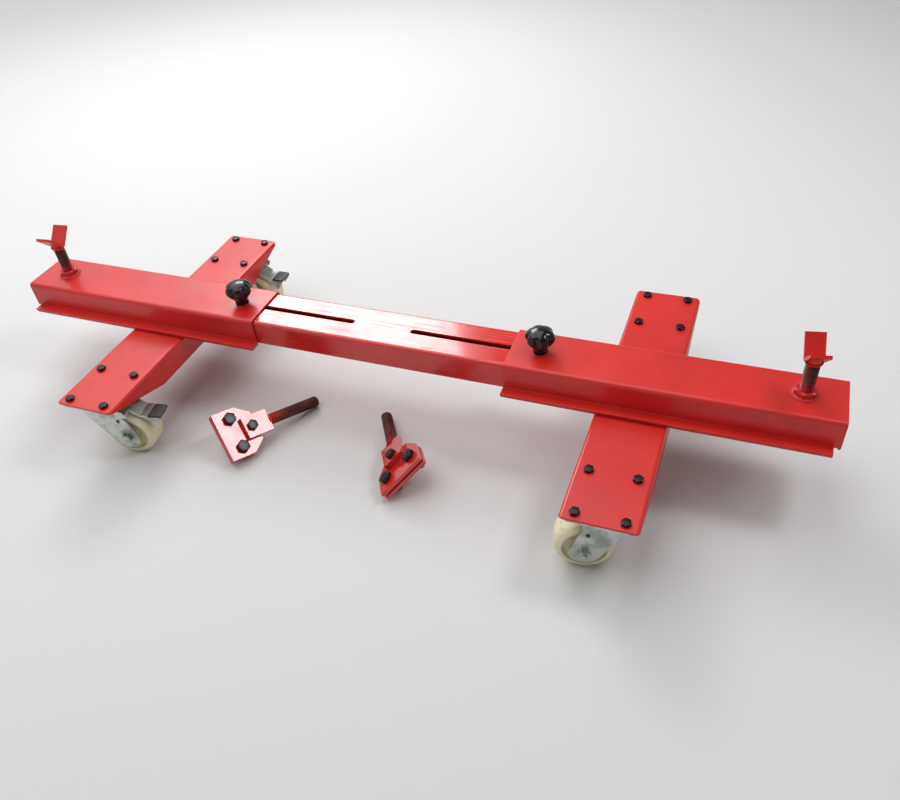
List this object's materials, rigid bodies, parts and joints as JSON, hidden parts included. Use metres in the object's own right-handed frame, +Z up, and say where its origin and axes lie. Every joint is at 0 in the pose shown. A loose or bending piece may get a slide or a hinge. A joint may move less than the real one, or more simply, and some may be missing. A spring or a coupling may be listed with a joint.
{
  "type": "vehicle positioning dolly",
  "caption": "Telescopic beam dolly on swivel casters, with screw-up V saddles to lift and shift a vehicle, clamping knobs and loose sill clamps.",
  "frame": {"origin": "on the floor, midway along the beam and midway between the casters", "axes": "+X along the beam to its right end, +Y along the cross members to the far side, +Z up from the floor"},
  "size_m": [1.453, 0.554, 0.2782],
  "materials": {
    "red_coat": "glossy red powder coat",
    "black_bolts": "black oxide, oiled",
    "zinc": "bright zinc plate",
    "dark_studs": "dark oxide with a little rust",
    "knob_plastic": "glossy black moulding",
    "wheel_nylon": "cream nylon, slightly yellowed",
    "pad_plastic": "black moulding"
  },
  "bodies": {
    "left_carriage": {"left_sleeve": "red_coat", "left_base_plate": "red_coat", "left_end_plate": "red_coat", "left_cross_member": "red_coat", "left_post_nut": "red_coat", "left_caster_bolts": "black_bolts", "left_caster_nuts": "zinc", "near_left_mount_plate": "zinc", "near_left_kingpin": "zinc", "far_left_mount_plate": "zinc", "far_left_kingpin": "zinc"},
    "beam": {"inner_beam": "red_coat"},
    "right_carriage": {"right_sleeve": "red_coat", "right_base_plate": "red_coat", "right_end_plate": "red_coat", "right_cross_member": "red_coat", "right_post_nut": "red_coat", "right_caster_bolts": "black_bolts", "right_caster_nuts": "zinc", "near_right_mount_plate": "zinc", "near_right_kingpin": "zinc", "far_right_mount_plate": "zinc", "far_right_kingpin": "zinc"},
    "left_clamping_knob": {"left_knob": "knob_plastic", "left_knob_stud": "zinc"},
    "left_clamping_nut": {"left_nut_plate": "zinc"},
    "left_post": {"left_post_stud": "dark_studs"},
    "left_post_saddle": {"left_saddle": "red_coat"},
    "right_clamping_knob": {"right_knob": "knob_plastic", "right_knob_stud": "zinc"},
    "right_clamping_nut": {"right_nut_plate": "zinc"},
    "right_post": {"right_post_stud": "dark_studs"},
    "right_post_saddle": {"right_saddle": "red_coat"},
    "near_left_swivel": {"near_left_fork": "zinc", "near_left_axle_bolt": "zinc", "near_left_brake_pin": "zinc"},
    "near_left_roller": {"near_left_wheel": "wheel_nylon"},
    "near_left_brake": {"near_left_brake_lever": "zinc", "near_left_brake_pad": "pad_plastic"},
    "far_left_swivel": {"far_left_fork": "zinc", "far_left_axle_bolt": "zinc", "far_left_brake_pin": "zinc"},
    "far_left_roller": {"far_left_wheel": "wheel_nylon"},
    "far_left_brake": {"far_left_brake_lever": "zinc", "far_left_brake_pad": "pad_plastic"},
    "near_right_swivel": {"near_right_fork": "zinc", "near_right_axle_bolt": "zinc"},
    "near_right_roller": {"near_right_wheel": "wheel_nylon"},
    "far_right_swivel": {"far_right_fork": "zinc", "far_right_axle_bolt": "zinc"},
    "far_right_roller": {"far_right_wheel": "wheel_nylon"},
    "sill_clamp_a": {"clamp_a_back_jaw": "red_coat"},
    "sill_clamp_a_front": {"clamp_a_front_jaw": "red_coat", "clamp_a_bolts": "black_bolts", "clamp_a_stud": "dark_studs"},
    "sill_clamp_b": {"clamp_b_back_jaw": "red_coat"},
    "sill_clamp_b_front": {"clamp_b_front_jaw": "red_coat", "clamp_b_bolts": "black_bolts", "clamp_b_stud": "dark_studs"}
  },
  "joints": [
    {"name": "left_sleeve_slide", "type": "slide", "parent": "left_carriage", "child": "beam", "axis": [1, 0, 0], "range_m": [-0.218, 0.098]},
    {"name": "right_sleeve_slide", "type": "slide", "parent": "beam", "child": "right_carriage", "axis": [1, 0, 0], "range_m": [-0.218, 0.098]},
    {"name": "left_knob_turn", "type": "hinge", "parent": "left_carriage", "child": "left_clamping_knob", "pos_m": [-0.276, 0, 0.186], "axis": [0, 0, 1], "range_deg": [0, 360]},
    {"name": "left_nut_plate_drop", "type": "slide", "parent": "left_carriage", "child": "left_clamping_nut", "axis": [0, 0, -1], "range_m": [-0.00005, 0.0017]},
    {"name": "left_post_rise", "type": "slide", "parent": "left_carriage", "child": "left_post", "axis": [0, 0, 1], "range_m": [-0.0151, 0.0251]},
    {"name": "left_saddle_turn", "type": "hinge", "parent": "left_post", "child": "left_post_saddle", "pos_m": [-0.6675, 0, 0.247], "axis": [0, 0, 1], "range_deg": [-2160, 3600]},
    {"name": "right_knob_turn", "type": "hinge", "parent": "right_carriage", "child": "right_clamping_knob", "pos_m": [0.276, 0, 0.186], "axis": [0, 0, 1], "range_deg": [0, 360]},
    {"name": "right_nut_plate_drop", "type": "slide", "parent": "right_carriage", "child": "right_clamping_nut", "axis": [0, 0, -1], "range_m": [-0.00005, 0.0017]},
    {"name": "right_post_rise", "type": "slide", "parent": "right_carriage", "child": "right_post", "axis": [0, 0, 1], "range_m": [-0.0151, 0.0251]},
    {"name": "right_saddle_turn", "type": "hinge", "parent": "right_post", "child": "right_post_saddle", "pos_m": [0.6675, 0, 0.247], "axis": [0, 0, 1], "range_deg": [-2160, 3600]},
    {"name": "near_left_swivel_turn", "type": "hinge", "parent": "left_carriage", "child": "near_left_swivel", "pos_m": [-0.434, -0.223, 0.11], "axis": [0, 0, 1], "continuous": true},
    {"name": "near_left_wheel_spin", "type": "hinge", "parent": "near_left_swivel", "child": "near_left_roller", "pos_m": [-0.40651, -0.21766, 0.045], "axis": [-0.1908, 0.9816, 0], "continuous": true},
    {"name": "near_left_brake_press", "type": "hinge", "parent": "near_left_swivel", "child": "near_left_brake", "pos_m": [-0.39473, -0.21537, 0.097], "axis": [-0.1908, 0.9816, 0], "range_deg": [0, 13.5]},
    {"name": "far_left_swivel_turn", "type": "hinge", "parent": "left_carriage", "child": "far_left_swivel", "pos_m": [-0.434, 0.223, 0.11], "axis": [0, 0, 1], "continuous": true},
    {"name": "far_left_wheel_spin", "type": "hinge", "parent": "far_left_swivel", "child": "far_left_roller", "pos_m": [-0.406, 0.223, 0.045], "axis": [0, 1, 0], "continuous": true},
    {"name": "far_left_brake_press", "type": "hinge", "parent": "far_left_swivel", "child": "far_left_brake", "pos_m": [-0.394, 0.223, 0.097], "axis": [0, 1, 0], "range_deg": [0, 13.5]},
    {"name": "near_right_swivel_turn", "type": "hinge", "parent": "right_carriage", "child": "near_right_swivel", "pos_m": [0.434, -0.223, 0.11], "axis": [0, 0, 1], "continuous": true},
    {"name": "near_right_wheel_spin", "type": "hinge", "parent": "near_right_swivel", "child": "near_right_roller", "pos_m": [0.40683, -0.22977, 0.045], "axis": [0.2419, -0.9703, 0], "continuous": true},
    {"name": "far_right_swivel_turn", "type": "hinge", "parent": "right_carriage", "child": "far_right_swivel", "pos_m": [0.434, 0.223, 0.11], "axis": [0, 0, 1], "continuous": true},
    {"name": "far_right_wheel_spin", "type": "hinge", "parent": "far_right_swivel", "child": "far_right_roller", "pos_m": [0.40643, 0.21814, 0.045], "axis": [0.1736, -0.9848, 0], "continuous": true},
    {"name": "sill_clamp_a_set_down", "type": "slide", "parent": "left_carriage", "child": "sill_clamp_a", "axis": [0, 0.5, -0.866], "range_m": [-0.3, 0]},
    {"name": "sill_clamp_a_open", "type": "slide", "parent": "sill_clamp_a", "child": "sill_clamp_a_front", "axis": [0.6317, -0.1465, 0.7613], "range_m": [-0.0025, 0.01]},
    {"name": "sill_clamp_b_set_down", "type": "slide", "parent": "left_carriage", "child": "sill_clamp_b", "axis": [0, 0.5, -0.866], "range_m": [-0.3, 0]},
    {"name": "sill_clamp_b_open", "type": "slide", "parent": "sill_clamp_b", "child": "sill_clamp_b_front", "axis": [-0.6165, -0.201, 0.7613], "range_m": [-0.0025, 0.01]}
  ],
  "couplings": [
    {"joint": "left_nut_plate_drop", "follows": "left_knob_turn", "m_per_rad": 0.00023873},
    {"joint": "left_post_rise", "follows": "left_saddle_turn", "m_per_rad": 0.00039789},
    {"joint": "right_nut_plate_drop", "follows": "right_knob_turn", "m_per_rad": 0.00023873},
    {"joint": "right_post_rise", "follows": "right_saddle_turn", "m_per_rad": 0.00039789}
  ]
}
